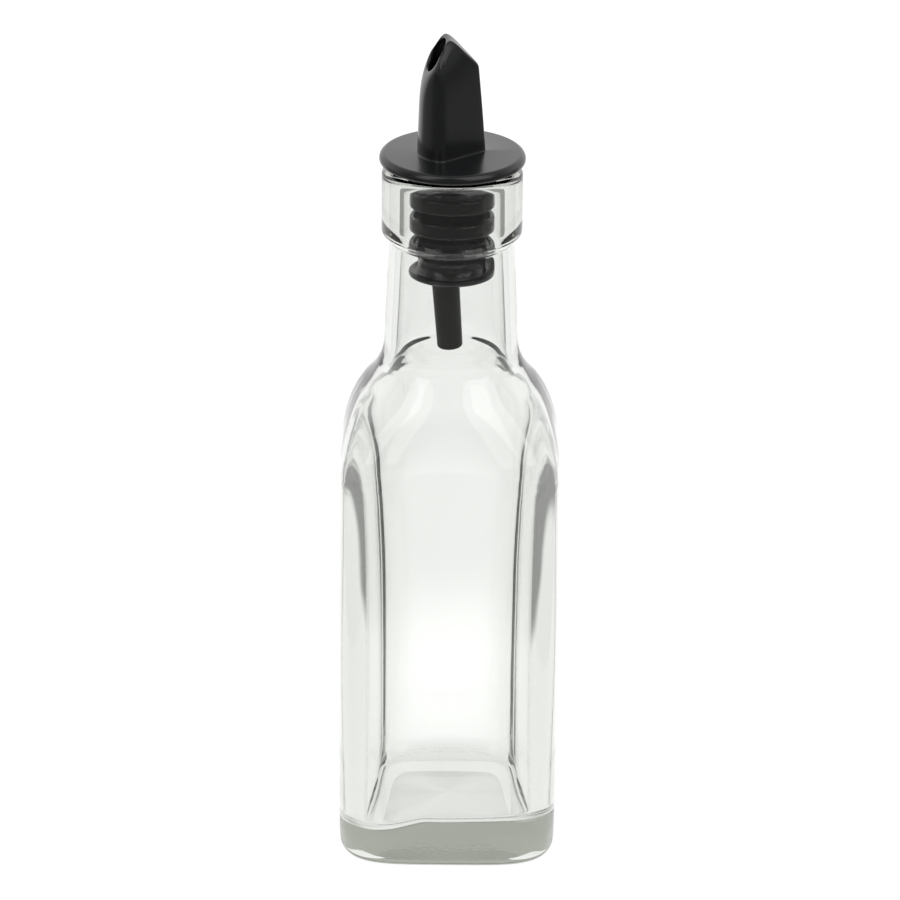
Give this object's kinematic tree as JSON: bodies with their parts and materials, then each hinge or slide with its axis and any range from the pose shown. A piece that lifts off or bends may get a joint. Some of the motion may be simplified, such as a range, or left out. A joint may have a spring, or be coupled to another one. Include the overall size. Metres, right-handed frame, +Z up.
{
  "type": "glass oil cruet with pourer",
  "caption": "Square clear glass cruet with rounded shoulders and a ringed neck, stopped by a black plastic pourer with a slanted spout, for dispensing oil or vinegar.",
  "frame": {"origin": "centre of the base, on the surface that the bottle stands on", "axes": "+Z up along the bottle's axis; -Y out of the front face; -X the way the mouth of the pourer opens, turned a little to the front"},
  "size_m": [0.0508, 0.0508, 0.1932],
  "materials": {
    "glass": "clear moulded soda-lime glass, faintly grey-green in the thick base and corners",
    "black_plastic": "injection-moulded black polyethylene with a satin sheen",
    "tube_plastic": "extruded grey-black plastic tube"
  },
  "bodies": {
    "root": {"bottle": "glass", "pourer": "black_plastic", "breather_tube": "tube_plastic"}
  },
  "joints": []
}
